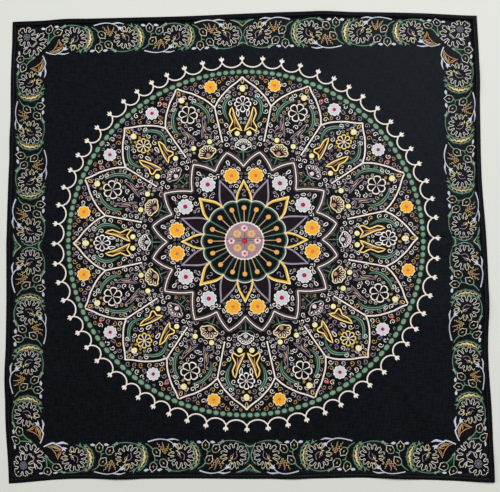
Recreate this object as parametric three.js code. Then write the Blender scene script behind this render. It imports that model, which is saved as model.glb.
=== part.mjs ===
import * as THREE from "three";

// A printed cotton handkerchief with a narrow turned hem, laid out flat, face up, after being pressed in
// quarters. Millimetres, +Z up. +X is its right side and +Y its back edge, and it rests on z = 0.
// It was cut square, and washing has drawn the length in a little.

const clothWidth = 520;
const clothLength = 504;
const wall = 1.2; // the cloth's wall
const hemWidth = 3.2; // the turned hem, seen from above
const hemHeight = 1.9;
const hemRound = 0.5; // how far the hem's long edges are rounded
const seamGap = 0.3; // between the panel and the hem, and at the hem's mitred corners
const cellSize = 15; // the largest step of the panel's grid
const creaseStep = 5; // and its step beside a pressed crease
const stepsBeside = 3; // how many of these lie on each side of it
const hemSteps = 34; // steps along each hem

// How far each edge lies outside the true rectangle. Along runs from left to right on the back and front
// edges, and from front to back on the left and right ones. The rows are evenly spaced.
const edgeStray = [
  { along: -1, back: -3, front: 5.6, left: -3.2, right: -0.2 },
  { along: -0.75, back: -1, front: 1.2, left: 1.2, right: -0.2 },
  { along: -0.5, back: -0.8, front: 1.4, left: 1.6, right: -1.9 },
  { along: -0.25, back: -0.8, front: 1.2, left: 1.2, right: 0.8 },
  { along: 0, back: 0.4, front: 2, left: 1.6, right: 0.2 },
  { along: 0.25, back: 1.1, front: 2, left: 0.3, right: -2.4 },
  { along: 0.5, back: -1, front: 1.4, left: -1.8, right: -1.9 },
  { along: 0.75, back: -3.9, front: 4, left: -1.8, right: -0.8 },
  { along: 1, back: -8.4, front: 6.6, left: -4, right: -1.8 },
];

// Where the cloth was pressed in quarters.
const creaseX = 2; // where the lengthwise crease lies
const creaseY = -1; // where the crosswise one lies

// Where the cloth lifts off the table: the middle of each fold, its heading in degrees from +X, half its
// length and width, and its height. A crease dips back to the table along its middle line.
const folds = [
  { shape: "crease", x: creaseX, y: 0, heading: 90, halfLength: 300, halfWidth: 15, lift: 0.9 },
  { shape: "crease", x: 135, y: creaseY, heading: 0, halfLength: 190, halfWidth: 15, lift: 1.1 },
  { shape: "ridge", x: -140, y: creaseY, heading: 0, halfLength: 180, halfWidth: 12, lift: 1.2 },
  { shape: "ridge", x: -138, y: -256, heading: 84, halfLength: 96, halfWidth: 30, lift: 2.1 },
  { shape: "ridge", x: 48, y: -257, heading: 98, halfLength: 70, halfWidth: 24, lift: 1.6 },
  { shape: "ridge", x: 158, y: -258, heading: 102, halfLength: 104, halfWidth: 34, lift: 2.3 },
  { shape: "ridge", x: -196, y: 250, heading: 82, halfLength: 82, halfWidth: 26, lift: 1.5 },
  { shape: "ridge", x: 92, y: 252, heading: 95, halfLength: 90, halfWidth: 30, lift: 1.9 },
  { shape: "ridge", x: -262, y: 118, heading: 6, halfLength: 84, halfWidth: 26, lift: 1.8 },
  { shape: "ridge", x: -260, y: -142, heading: -9, halfLength: 100, halfWidth: 32, lift: 2.2 },
  { shape: "ridge", x: 259, y: 172, heading: -5, halfLength: 80, halfWidth: 24, lift: 1.5 },
  { shape: "ridge", x: 258, y: -76, heading: 8, halfLength: 92, halfWidth: 28, lift: 1.9 },
  { shape: "ridge", x: 246, y: -240, heading: -44, halfLength: 92, halfWidth: 30, lift: 2.4 },
  { shape: "ridge", x: -240, y: 236, heading: -42, halfLength: 76, halfWidth: 24, lift: 1.7 },
];

const clothColour = 0x1b1e26;
const hemColour = 0x14171d;

// A column of the table at any place along the edge, as one smooth curve through its rows.
function strayAt(column, along) {
  const last = edgeStray.length - 1;
  const place = THREE.MathUtils.clamp(((along + 1) / 2) * last, 0, last);
  const row = Math.min(Math.floor(place), last - 1);
  const t = place - row;
  const value = (index) => edgeStray[THREE.MathUtils.clamp(index, 0, last)][column];
  const [before, start, end, after] = [value(row - 1), value(row), value(row + 1), value(row + 2)];
  const bend = 2 * before - 5 * start + 4 * end - after;
  const twist = 3 * (start - end) + after - before;
  return start + (t / 2) * (end - before + t * (bend + t * twist));
}

function outermost(column) {
  return Math.max(...edgeStray.map((row) => row[column]));
}

// The cloth's box is centred on the origin.
const centreX = (outermost("right") - outermost("left")) / 2;
const centreY = (outermost("back") - outermost("front")) / 2;

// One fold's lift at a place: full on its middle, and nothing beyond its half length and half width.
function foldLift(fold, x, y) {
  const turn = THREE.MathUtils.degToRad(fold.heading);
  const offX = x - fold.x;
  const offY = y - fold.y;
  const along = (offX * Math.cos(turn) + offY * Math.sin(turn)) / fold.halfLength;
  const across = (offY * Math.cos(turn) - offX * Math.sin(turn)) / fold.halfWidth;
  if (Math.abs(along) >= 1 || Math.abs(across) >= 1) return 0;
  const fade = (1 - along ** 2) ** 2;
  const bell = (1 - across ** 2) ** 2;
  const dip = fold.shape === "crease" ? Math.min(1, 3 * Math.abs(across)) : 1;
  return fold.lift * fade * bell * dip;
}

// The height of the cloth's underside, from its largest fold there.
function liftAt(x, y) {
  return Math.max(...folds.map((fold) => foldLift(fold, x, y)));
}

// A point of the flat, square cloth as it lies: u and v run over the true rectangle, and height is measured
// from the cloth's underside.
function laidPoint(u, v, height) {
  const acrossShare = u / clothWidth + 0.5;
  const alongShare = v / clothLength + 0.5;
  const right = strayAt("right", 2 * alongShare - 1);
  const left = strayAt("left", 2 * alongShare - 1);
  const back = strayAt("back", 2 * acrossShare - 1);
  const front = strayAt("front", 2 * acrossShare - 1);
  const x = u + acrossShare * right - (1 - acrossShare) * left;
  const y = v + alongShare * back - (1 - alongShare) * front;
  return new THREE.Vector3(x - centreX, y - centreY, liftAt(x, y) + height);
}

// Moves every point of a geometry, and renews its normals.
function reshaped(geometry, place) {
  const spots = geometry.getAttribute("position");
  for (let i = 0; i < spots.count; i += 1) {
    const moved = place(spots.getX(i), spots.getY(i), spots.getZ(i));
    spots.setXYZ(i, moved.x, moved.y, moved.z);
  }
  geometry.computeVertexNormals();
  return geometry;
}

// Grid lines from one edge to the other, closer together beside a pressed crease.
function gridLines(size, crease) {
  const first = crease - stepsBeside * creaseStep;
  const last = crease + stepsBeside * creaseStep;
  const spread = (from, to, step) => {
    const count = Math.ceil((to - from) / step);
    return Array.from({ length: count }, (_, i) => from + ((to - from) * i) / count);
  };
  return [
    ...spread(-size / 2, first, cellSize),
    ...spread(first, last, creaseStep),
    ...spread(last, size / 2, cellSize),
    size / 2,
  ];
}

// The printed panel: a box of thin cells, each point moved to its place on the laid cloth.
function panelGeometry() {
  const inset = 2 * (hemWidth + seamGap);
  const columns = gridLines(clothWidth - inset, creaseX);
  const rows = gridLines(clothLength - inset, creaseY);
  const flat = new THREE.BoxGeometry(
    columns.length - 1, rows.length - 1, wall, columns.length - 1, rows.length - 1, 1,
  );
  return reshaped(flat, (x, y, z) => {
    const column = Math.round(x + (columns.length - 1) / 2);
    const row = Math.round(y + (rows.length - 1) / 2);
    return laidPoint(columns[column], rows[row], z + wall / 2);
  });
}

// The hem's section: x is the distance in from the cloth's edge, y the height.
function hemSection() {
  const [low, high] = [hemRound, hemWidth - hemRound];
  const section = new THREE.Shape();
  section.moveTo(low, 0);
  section.lineTo(high, 0);
  section.lineTo(hemWidth, hemRound);
  section.lineTo(hemWidth, hemHeight - hemRound);
  section.lineTo(high, hemHeight);
  section.lineTo(low, hemHeight);
  section.lineTo(0, hemHeight - hemRound);
  section.lineTo(0, hemRound);
  return section;
}

// One side's turned hem, mitred at both ends. Each side gives the flat cloth's u and v from the share
// of the way along it, -1 to 1, and the distance in from its edge.
const hemSides = {
  front: (along, inset, trim) => [along * (clothWidth / 2 - trim), inset - clothLength / 2],
  right: (along, inset, trim) => [clothWidth / 2 - inset, along * (clothLength / 2 - trim)],
  back: (along, inset, trim) => [-along * (clothWidth / 2 - trim), clothLength / 2 - inset],
  left: (along, inset, trim) => [inset - clothWidth / 2, -along * (clothLength / 2 - trim)],
};

function hemGeometry(side) {
  const hemRun = 2; // from -1 to 1 along the side
  const straight = new THREE.ExtrudeGeometry(hemSection(), {
    depth: hemRun,
    steps: hemSteps,
    bevelEnabled: false,
  });
  const mitreGap = seamGap / Math.SQRT2;
  return reshaped(straight, (inset, height, run) => {
    const [u, v] = hemSides[side](run - hemRun / 2, inset, inset + mitreGap);
    return laidPoint(u, v, height);
  });
}

function namedMesh(name, geometry, colour) {
  const material = new THREE.MeshStandardMaterial({ color: colour, roughness: 0.9, metalness: 0 });
  const mesh = new THREE.Mesh(geometry, material);
  mesh.name = name;
  return mesh;
}

const handkerchief = new THREE.Group();
handkerchief.add(namedMesh("cloth_panel", panelGeometry(), clothColour));
for (const side of Object.keys(hemSides)) {
  handkerchief.add(namedMesh(`hem_${side}`, hemGeometry(side), hemColour));
}

export default handkerchief;
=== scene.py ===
import itertools
import math
import random
import bpy
from mathutils import Matrix, Vector
from mathutils.geometry import delaunay_2d_cdt


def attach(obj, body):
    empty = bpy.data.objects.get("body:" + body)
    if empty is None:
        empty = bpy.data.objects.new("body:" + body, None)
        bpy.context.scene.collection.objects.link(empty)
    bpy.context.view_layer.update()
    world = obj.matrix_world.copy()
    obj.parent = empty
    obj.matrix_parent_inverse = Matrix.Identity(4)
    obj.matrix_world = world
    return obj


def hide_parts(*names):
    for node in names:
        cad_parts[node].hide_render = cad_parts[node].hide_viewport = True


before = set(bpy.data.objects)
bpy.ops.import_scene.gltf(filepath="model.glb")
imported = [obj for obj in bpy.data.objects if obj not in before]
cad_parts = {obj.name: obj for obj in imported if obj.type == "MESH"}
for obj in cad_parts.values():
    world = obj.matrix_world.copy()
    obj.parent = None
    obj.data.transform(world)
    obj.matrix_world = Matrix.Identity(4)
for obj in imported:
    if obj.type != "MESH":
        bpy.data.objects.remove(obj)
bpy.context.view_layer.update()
print("stage: frame loaded")

# The cloth is a 520 mm square whose length has drawn in a little. The print is drawn in millimetres on
# the square, x to the right and y to the back, and is the same in all eight wedges of 45 degrees.
cloth = {
    "side": 520, "drawn": 504 / 520, "thick": 0.45, "printEnd": 255.6, "hemStart": 4.0,
    "flatWidth": 0.534, "flatLength": 0.518,
    "hemReach": 4.4, "hemFade": 18,  # past the hem, the print soon lies true again
    "sag": 0.6,  # how far the underside hangs into the folds
    "steep": 3,  # a crease is at its full height a third of the way out
}

# How far each edge lies outside the true rectangle, from left to right or from front to back.
edgeStray = {
    "back": (-3, -1, -0.8, -0.8, 0.4, 1.1, -1, -3.9, -8.4),
    "front": (5.6, 1.2, 1.4, 1.2, 2, 2, 1.4, 4, 6.6),
    "left": (-3.2, 1.2, 1.6, 1.2, 1.6, 0.3, -1.8, -1.8, -4),
    "right": (-0.2, -0.2, -1.9, 0.8, 0.2, -2.4, -1.9, -0.8, -1.8),
}

# Folds: shape, middle, heading in degrees, half length, half width and height, in millimetres.
folds = [
    ("crease", 2, 0, 90, 300, 15, 0.9),
    ("crease", 135, -1, 0, 190, 15, 1.1),
    ("ridge", -140, -1, 0, 180, 12, 1.2),
    ("ridge", -138, -256, 84, 96, 30, 2.1),
    ("ridge", 48, -257, 98, 70, 24, 1.6),
    ("ridge", 158, -258, 102, 104, 34, 2.3),
    ("ridge", -196, 250, 82, 82, 26, 1.5),
    ("ridge", 92, 252, 95, 90, 30, 1.9),
    ("ridge", -262, 118, 6, 84, 26, 1.8),
    ("ridge", -260, -142, -9, 100, 32, 2.2),
    ("ridge", 259, 172, -5, 80, 24, 1.5),
    ("ridge", 258, -76, 8, 92, 28, 1.9),
    ("ridge", 246, -240, -44, 92, 30, 2.4),
    ("ridge", -240, 236, -42, 76, 24, 1.7),
]

# Finer ripples that the pressing has left, on top of the folds, in the same columns but for the shape.
ripples = [
    (1, 190, 90, 110, 1.8, -0.7), (1, -160, 90, 100, 1.8, -0.5), (5, 210, 90, 60, 6, 0.22),
    (150, 2.6, 0, 110, 1.8, -0.6), (0, 2.6, 0, 110, 12, 0.8), (0, 2.6, 0, 110, 1.7, -0.9),
    (-165, 1, 0, 100, 3.5, 0.3), (-120, -6, 2, 90, 5, 0.16), (205, 60, 84, 70, 9, 0.3),
    (-212, -70, 95, 80, 10, 0.28), (-95, -214, 12, 90, 8, 0.26), (120, 206, -8, 80, 8, 0.22),
    (215, -180, 40, 60, 9, 0.3), (-205, 190, 48, 60, 9, 0.26),
]


def between(before, start, end, after, t):
    # A smooth curve's value on the way from start to end, as t runs from 0 to 1.
    bend = 2 * before - 5 * start + 4 * end - after
    return start + t / 2 * (end - before + t * (bend + t * (3 * (start - end) + after - before)))


def strayAt(side, along):
    rows = edgeStray[side]
    last = len(rows) - 1
    at = min(max((along + 1) / 2 * last, 0), last)
    row = min(int(at), last - 1)
    near = (rows[min(max(row + i, 0), last)] for i in (-1, 0, 1, 2))
    return between(*near, at - row)


shiftX = (max(edgeStray["right"]) - max(edgeStray["left"])) / 2
shiftY = (max(edgeStray["back"]) - max(edgeStray["front"])) / 2


def bell(x, y, middleX, middleY, heading, halfLength, halfWidth):
    # A fold's height as a share of its full height, and how far off its middle line the place is.
    turn = math.radians(heading)
    dx, dy = x - middleX, y - middleY
    along = (dx * math.cos(turn) + dy * math.sin(turn)) / halfLength
    across = (dy * math.cos(turn) - dx * math.sin(turn)) / halfWidth
    if abs(along) >= 1 or abs(across) >= 1:
        return 0, 0
    return (1 - along ** 2) ** 2 * (1 - across ** 2) ** 2, abs(across)


def liftAt(x, y):
    highest = 0
    for shape, *place, lift in folds:
        share, across = bell(x, y, *place)
        dip = min(1, cloth["steep"] * across) if shape == "crease" else 1
        highest = max(highest, lift * share * dip)
    fine = sum(lift * bell(x, y, *place)[0] for *place, lift in ripples)
    return max(0, highest + fine)


def edgeShare(inside):
    # The hem follows the cloth's edge. The print inside it soon lies true again.
    return min(1, math.exp((cloth["hemReach"] - inside) / cloth["hemFade"]))


# The border's print has slid a little against the middle, to the right and back. There is one row for
# every 120 mm or so round the square, clockwise from its back left corner.
slides = {
    "inner": 213, "outer": 256, "fadeIn": 6, "fadeOut": 8,
    "rows": (
        (-1.8, 0), (0.5, -0.4), (1, 0.2), (1, -0.3), (0.6, -0.1), (0.6, -4), (0.8, -4.3), (-0.4, -4.7),
        (3.6, -4.2), (2.9, -0.7), (3, 0), (2.4, -0.2), (-2.5, -4.8), (1.1, -3.4), (1.2, -2.5), (0.3, -1.6),
    ),
}


def slideAt(px, py):
    reach = max(abs(px), abs(py))
    shares = (reach - slides["inner"]) / slides["fadeIn"], (slides["outer"] - reach) / slides["fadeOut"]
    share = max(0, min(1, *shares))
    if share == 0:
        return 0, 0
    if py == reach:
        turn = 1 + px / reach
    elif px == reach:
        turn = 3 - py / reach
    elif py == -reach:
        turn = 5 - px / reach
    else:
        turn = 7 + py / reach
    row, part = divmod(turn * 2, 1)
    a, b = (slides["rows"][int(row + i) % len(slides["rows"])] for i in (0, 1))
    return tuple(share * (a[c] + (b[c] - a[c]) * part) for c in (0, 1))


def laidPoint(px, py, height):
    # From the print's square to where the cloth lies, in metres.
    u, v = px, py * cloth["drawn"]
    half = cloth["side"] / 2
    across, along = px / cloth["side"] + 0.5, py / cloth["side"] + 0.5
    right, left = strayAt("right", 2 * along - 1), strayAt("left", 2 * along - 1)
    back, front = strayAt("back", 2 * across - 1), strayAt("front", 2 * across - 1)
    x = u + edgeShare(half - px) * right - edgeShare(half + px) * left
    y = v + edgeShare(half - py) * back - edgeShare(half + py) * front
    slideX, slideY = slideAt(px, py)
    x, y = x + slideX, y + slideY
    lift = liftAt(x, y)
    if height == 0:
        lift = max(0, lift - cloth["sag"])
    z = lift + height
    return ((x - shiftX) / 1000, (y - shiftY) / 1000, z / 1000)


# Dyes of the print.
dyes = {
    "ground": "#050609", "night": "#080504", "shade": "#070403", "leaf": "#101e16", "bead": "#78947c",
    "beadRim": "#34503f", "green": "#7e9c87", "midGreen": "#40604e", "cream": "#e8dfd4",
    "ivory": "#e4dfd6", "white": "#ece7e2", "blue": "#c6cad6", "mauve": "#998792", "plum": "#160c10",
    "rose": "#a3808a", "pink": "#e2c8cb", "ochre": "#bd9660", "tan": "#c9a87c", "orange": "#f0a526",
    "amber": "#c08c48", "yellow": "#f0cc62", "petal": "#c4c8cd", "violet": "#978b9f", "stem": "#5d7866",
    "heart": "#b4806a", "lemon": "#eadfa2", "straw": "#e6d6a0", "crimson": "#ad1540", "red": "#c23a36",
    "brown": "#452c1c", "lilac": "#c6b7bb", "moss": "#6c7464", "slate": "#5e616a", "peach": "#dcae82",
    "butter": "#f6e096", "honey": "#d9a83e", "fern": "#14281c", "primrose": "#e6dfba",
    "gold": "#d8ae6c", "divide": "#6c8a70", "band": "#614f54",
}
marks = []  # [dye, points, faces] in the order they are printed


def seat(angle, radius=0, turn=0, flip=1):
    # A place on the print: degrees from the back axis and millimetres out, turned clockwise.
    a, t = math.radians(angle), math.radians(turn)
    cx, cy = radius * math.sin(a), radius * math.cos(a)

    def place(x, y):
        x = x * flip
        x, y = x * math.cos(t) + y * math.sin(t), y * math.cos(t) - x * math.sin(t)
        return cx + x * math.cos(a) + y * math.sin(a), cy + y * math.cos(a) - x * math.sin(a)

    return place


def here(x, y):
    return x, y


def smooth(points, steps=3, closed=False):
    # A smooth line through its points.
    n = len(points)
    pick = (lambda i: points[i % n]) if closed else (lambda i: points[min(max(i, 0), n - 1)])
    line = []
    for i in range(n if closed else n - 1):
        near = list(zip(*(pick(i + k) for k in (-1, 0, 1, 2))))
        line.extend(tuple(between(*row, s / steps) for row in near) for s in range(steps))
    if not closed:
        line.append(tuple(points[-1]))
    return line


def mirrored(half):
    # A shape's one half, which ends on its axis, and then its other half back again.
    return half + [(-x, y) for x, y in half[-2::-1]]


def moved(points, x, y, turn=0):
    # The points turned clockwise about their origin, and then moved.
    c, s = math.cos(math.radians(turn)), math.sin(math.radians(turn))
    return [(x + px * c + py * s, y + py * c - px * s) for px, py in points]


def fill(dye, points, place=here):
    spots = [place(x, y) for x, y in points]
    marks.append([dye, spots, [list(range(len(spots)))]])


def stroke(dye, points, width, place=here, closed=False):
    # A printed line, as a chain of short quads. Width is one number, or (start, middle, end).
    n = len(points)
    left, right = [], []
    for i, (x, y) in enumerate(points):
        ax, ay = points[i - 1] if closed or i else points[0]
        bx, by = points[(i + 1) % n] if closed or i < n - 1 else points[-1]
        dx, dy = bx - ax, by - ay
        long = math.hypot(dx, dy) or 1
        if isinstance(width, tuple):
            t = 2 * i / (n - 1)
            w = width[0] + (width[1] - width[0]) * t if t < 1 else width[1] + (width[2] - width[1]) * (t - 1)
        else:
            w = width
        left.append(place(x - dy / long * w / 2, y + dx / long * w / 2))
        right.append(place(x + dy / long * w / 2, y - dx / long * w / 2))
    faces = [[n + i, n + (i + 1) % n, (i + 1) % n, i] for i in range(n if closed else n - 1)]
    marks.append([dye, left + right, faces])


def curve(dye, points, width, place, steps=2):
    stroke(dye, smooth(points, steps), width, place)


def ring(x, y, rx, ry, count):
    turns = [math.tau * i / count for i in range(count)]
    return [(x + rx * math.cos(turn), y + ry * math.sin(turn)) for turn in turns]


def dot(dye, x, y, radius, count, place=here):
    fill(dye, ring(x, y, radius, radius, count), place)


def lobed(x, y, outer, inner, lobes, steps=3):
    # A closed outline with round lobes, the first one pointing outwards.
    line = []
    for i in range(lobes * (steps + 1)):
        lobe, k = divmod(i, steps + 1)
        share = k / (steps + 1) - 0.5
        a = math.tau * (lobe + share) / lobes
        r = inner + (outer - inner) * (1 - (2 * share) ** 2) ** 0.5
        line.append((x + r * math.sin(a), y + r * math.cos(a)))
    return line


def arc(radius, steps, start=-4, end=49):
    # Part of a circle about the print's middle, in degrees, and a little past both edges of the wedge
    # unless it is told otherwise. Radius may be a function of the angle.
    line = []
    for i in range(steps + 1):
        a = start + (end - start) * i / steps
        r = radius(a) if callable(radius) else radius
        line.append((r * math.sin(math.radians(a)), r * math.cos(math.radians(a))))
    return line


def band(dye, inner, outer, steps):
    fill(dye, arc(outer, steps) + arc(inner, steps)[::-1])


def disc(dye, radius, steps):
    # Its corner lies a little past the print's middle, so that the wedge's tip is covered.
    fill(dye, [(0, -3)] + arc(radius, steps))


def drop(dye, x, y, turn, length, wide, place):
    # One pointed leaf, widest past its middle.
    belly, count = 0.62, 4
    side = []
    for i in range(1, count):
        t = i / count
        side.append((wide / 2 * math.sin(math.pi * t ** (math.log(0.5) / math.log(belly))), t * length))
    fill(dye, moved([(0, 0)] + mirrored(side + [(0, length)]), x, y, turn), place)


def petalLine(length, wide, waist=0.9, brow=1.0, browAt=0.82):
    half = [(wide * waist, length * 0.5), (wide * brow, length * browAt), (0, length)]
    return smooth([(0, 0)] + mirrored(half), 2, True)


def loop(dye, x, y, turn, length, wide, line, place):
    stroke(dye, moved(petalLine(length, wide, 0.42, 0.4, 0.86), x, y, turn), line, place, True)


def curl(dye, x, y, turn, size, hand, line, place):
    # A tail that winds in to a ball.
    sweep, count = 400, 8
    points = []
    for i in range(count):
        t = i / (count - 1)
        a = math.radians(turn + hand * sweep * t)
        r = size * (1 - 0.74 * t ** 0.8)
        points.append((x + r * math.sin(a), y + r * math.cos(a)))
    stroke(dye, points, (line * 0.55, line, line), place)
    dot(dye, *points[-1], line * 0.72, 6, place)


def blossom(place, y, radius, lobes, rim, body, heart, heartSize, line):
    fill(rim, lobed(0, y, radius, radius * 0.84, lobes), place)
    fill(body, lobed(0, y, radius - line, (radius - line) * 0.82, lobes), place)
    dot(heart, 0, y, heartSize, 8, place)


cells = []  # where each scroll lies, how large it is and its dye


def scrollCell(angle, out, size, dye, turn=0, hand=1, paired=False, edge=0.3):
    # A six-sided cell of the print in which the material draws one scroll, or an S of two.
    place = seat(angle, out, turn, hand)
    (cx, cy), (ux, uy) = place(0, 0), place(1, 0)
    axis = {0: "back", 45: "diagonal"}.get(angle)
    cells.append({"at": (cx, cy), "across": (ux - cx, uy - cy), "hand": hand, "size": size, "dye": dye,
                  "shift": 4.0 if paired else 0.0, "axis": axis})
    reach = (size + edge) * 1.155  # out to the cell's corners
    return [len(cells) - 1, [place(px, py) for px, py in ring(0, 0, reach, reach, 6)], [list(range(6))]]


# The middle: a round cushion of small flowers in a rosette of sixteen lobes.
rosette = {
    "cusps": (-10.4, 10.4, 31.6, 58.4), "cusp": 43.6, "lobe": 47.4, "dots": 37.2,
    "bands": (("cream", 0), ("stem", 0.85), ("midGreen", 1.7), ("leaf", 2.6), ("shade", 3.9)),
    "lobes": ((0, 10.4), (21, 10.6), (45, 13.4)),  # middle and half angle
    "frill": 20.9, "frillDeep": 0.9, "cushion": 20.0,
}


def lobeRadius(a):
    for start, end in zip(rosette["cusps"], rosette["cusps"][1:]):
        if start <= a <= end:
            t = 2 * (a - start) / (end - start) - 1
            return rosette["cusp"] + (rosette["lobe"] - rosette["cusp"]) * (1 - t * t) ** 0.5
    return rosette["cusp"]


def drawRosette():
    dots = rosette["dots"]
    for dye, less in rosette["bands"]:
        disc(dye, lambda a: lobeRadius(a) - less, 40)
    for middle, half in rosette["lobes"]:
        place = seat(middle)
        for side in (1, -1):
            inner = math.radians(half) * 21.5
            rib = [(side * (inner - 1.2), 22), (side * (inner + 1.6), 32), (side * (inner + 2.8), 39)]
            stroke("leaf", rib, (1.0, 1.8, 1.0), place)
        stroke("tan", [(0, 20), (0, 36)], 0.85, place)
        fill("tan", ring(0, dots, 2.6, 2.8, 10), place)
        fill("orange", ring(0, dots + 0.1, 1.9, 2.1, 9), place)
    for cusp in rosette["cusps"]:
        stroke("stem", [(0, 20.5), (0, 30), (0, rosette["cusp"] - 1)], (0.7, 0.9, 1.3), seat(cusp))
    disc("ivory", lambda a: rosette["frill"] + rosette["frillDeep"] * abs(math.cos(math.radians(a * 18))), 42)
    disc("rose", rosette["cushion"], 18)
    stroke("moss", [(0, 2.6), (0, 5.6), (0, 11)], (1.4, 1.8, 0.8), seat(0))
    stroke("moss", [(0, 3), (0, 6.4)], 1.2, seat(45))
    blossom(seat(45), 11.0, 4.6, 7, "tan", "gold", "amber", 1.3, 0.9)
    blossom(seat(0), 14.2, 3.7, 6, "pink", "pink", "crimson", 1.4, 0.5)
    fill("crimson", lobed(0, 0, 3.5, 2.7, 8))
    fill("red", lobed(0, 0, 1.6, 1.2, 6))


# Petals that stand out behind the rosette: axis, half angle, tip, and the dyes from the edge inwards.
petals = [
    {"angle": 21, "half": 10.8, "tip": 74.5, "hook": False,
     "rings": (("violet", 0), ("mauve", 0.9), ("plum", 1.5))},
    {"angle": 0, "half": 10.4, "tip": 69.4, "hook": True,
     "rings": (("butter", 0), ("honey", 0.9), ("shade", 1.95))},
    {"angle": 45, "half": 13.4, "tip": 70, "hook": True,
     "rings": (("butter", 0), ("honey", 1.0), ("shade", 2.15))},
]

# A petal's outline from its foot: share of the height, share of the half width.
petalShape = ((0, 0.98), (0.2, 1.05), (0.42, 0.93), (0.66, 0.58), (0.86, 0.24))
petalFoot = {"at": 42, "wideAt": 43.5, "spare": 0.4, "taper": 2.6}
petalHook = {"out": 54.2, "size": 4.5, "dye": "violet", "turn": -14, "paired": True, "edge": 0.1}


def drawPetals():
    for p in petals:
        place = seat(p["angle"])
        base = math.tan(math.radians(p["half"])) * petalFoot["wideAt"] + petalFoot["spare"]
        foot = petalFoot["at"]
        for dye, less in p["rings"]:
            tall = p["tip"] - foot - less * petalFoot["taper"]
            side = [((base - less) * w, foot + tall * t) for t, w in petalShape]
            fill(dye, smooth(mirrored(side + [(0, foot + tall)]), 2), place)
        if p["hook"]:
            marks.append(scrollCell(p["angle"], **petalHook))


# Four inner flowers in each quarter, alternately orange and white.
def drawInnerFlowers():
    blossom(seat(10.2), 74.8, 9.0, 9, "straw", "orange", "heart", 2.1, 1.3)
    blossom(seat(31.6), 75.4, 8.8, 10, "white", "petal", "crimson", 2.6, 0.9)
    for angle, out in ((10.2, 90.5), (31.9, 91.5)):
        place = seat(angle)
        loop("white", 0, out - 3.4, 20, 5.6, 3.2, 0.8, place)
        for side in (1, -1):
            loop("cream", side * 10.5, out - 12, side * -30, 5.2, 2.8, 0.8, place)


# The star band of sixteen points: its corners, and its lines by dye, distance outwards and width.
star = ((-10.2, 101.5), (0, 84), (10.2, 101.5), (21.4, 84.5), (32.2, 103), (45, 79.8), (57.8, 103))
starBulge = 1.5
starLines = (("plum", 0, 6.4), ("band", 2.2, 0.9), ("band", -1.9, 0.8), ("cream", 0.1, 1.25))


def drawStar():
    corners = [seat(a)(0, r) for a, r in star]
    for dye, out, wide in starLines:
        line = []
        for (ax, ay), (bx, by) in zip(corners, corners[1:]):
            dx, dy = bx - ax, by - ay
            long = math.hypot(dx, dy)
            nx, ny = -dy / long, dx / long
            for t in (0.02, 0.26, 0.5, 0.74, 0.98):
                bulge = starBulge * (1 - (2 * t - 1) ** 2) + out
                line.append((ax + dx * t + nx * bulge, ay + dy * t + ny * bulge))
        stroke(dye, line, wide)


# The sixteen pointed arches. Each kind has its own flower, horns, crescents and fan, drawn on the
# arch's own axis with x across it and y out from the print's middle.
archShape = ((0, 0), (0.05, 0.07), (0.143, 0.167), (0.26, 0.26), (0.374, 0.34), (0.52, 0.473),
             (0.705, 0.645), (0.84, 0.79), (0.935, 0.92), (1, 1))  # share of the half width, and of the drop
archFoot = 155.3
archKinds = [
    {"name": "a", "angle": 0, "low": 0, "edges": (-11.5, 11.5), "tip": 187, "dot": (173.5, 3.2, 3.8),
     "flower": (155.5, 9.5, 8, "white", "plum", "mauve"), "rays": False,
     "crescent": ((11.6, 165), (17.6, 159.5), (20.4, 152), (19, 143), (15.2, 135.5)),
     "horn": ((11.8, 152), (14.7, 144.3), (11.3, 135.8), (14.9, 128.8), (13.6, 124.4), (7.7, 128.4),
              (1.6, 124.8), (5.3, 133.5), (9.2, 142.5)),
     "hornLine": "butter", "line": 0.85, "hornInside": "shade", "streak": "amber", "dots": (6.4, 121.8),
     "fan": (108.6, 9.2, 7.4, "white", "lilac"), "fanLine": 0.9, "seed": "white", "calyx": 101, "stem": 89},
    {"name": "c", "angle": 22.7, "low": 21.5, "edges": (11.5, 33.4), "tip": 190, "dot": (174.6, 3.2, 3.4),
     "flower": (156.3, 10.8, 6, "cream", "shade", "shade"), "rays": True,
     "crescent": ((7.4, 168.5), (15, 162), (19.6, 152), (19.4, 144), (16, 138)),
     "horn": ((13.2, 147.6), (14.2, 140), (11.6, 133.6), (15.6, 128.4), (13.8, 124.4), (8.8, 128.6),
              (3.2, 125.4), (6.2, 132.5), (10.2, 139.6)),
     "hornLine": "mauve", "line": 0.7, "hornInside": "plum", "streak": "tan", "dots": (9.6, 118.6),
     "fan": (107.4, 10.6, 9.6, "straw", "heart"), "fanLine": 1.1, "seed": "pink", "calyx": 99.6, "stem": 90},
    {"name": "b", "angle": 45, "low": 45, "edges": (33.4, 56.6), "tip": 185, "dot": (170.8, 3.1, 3.5),
     "flower": (155.4, 8.7, 8, "yellow", "plum", "yellow"), "rays": True,
     "crescent": ((9.5, 167), (17.6, 161), (22.6, 152.5), (21.2, 144), (17, 137)),
     "horn": ((15, 147), (16.2, 139.5), (14.4, 133), (17, 127.6), (15.4, 124.8), (10, 125.8),
              (5.4, 121.8), (7, 130), (10.6, 139)),
     "hornLine": "butter", "line": 0.85, "hornInside": "shade", "streak": "amber", "dots": (14.2, 119.6),
     "fan": (107.6, 10.6, 7.6, "lilac", "pink"), "fanLine": 0.7, "seed": "white", "calyx": 99.6,
     "stem": 87.5},
]


def archLine(kind, edge):
    # One side of an arch, from its tip to its foot.
    rise = kind["tip"] - archFoot
    return [seat(kind["angle"] + (edge - kind["angle"]) * share)(0, kind["tip"] - rise * s)
            for share, s in archShape]


def drawArchLines():
    for kind in archKinds:
        for edge in kind["edges"]:
            stroke("cream", archLine(kind, edge), 1.6)
    for edge in (11.5, 33.4):
        stroke("cream", [(0, 155.6), (0, 142), (0, 128), (0, 115.5)], 1.5, seat(edge))
        dot("cream", 0, 115.2, 1.1, 8, seat(edge))


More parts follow.
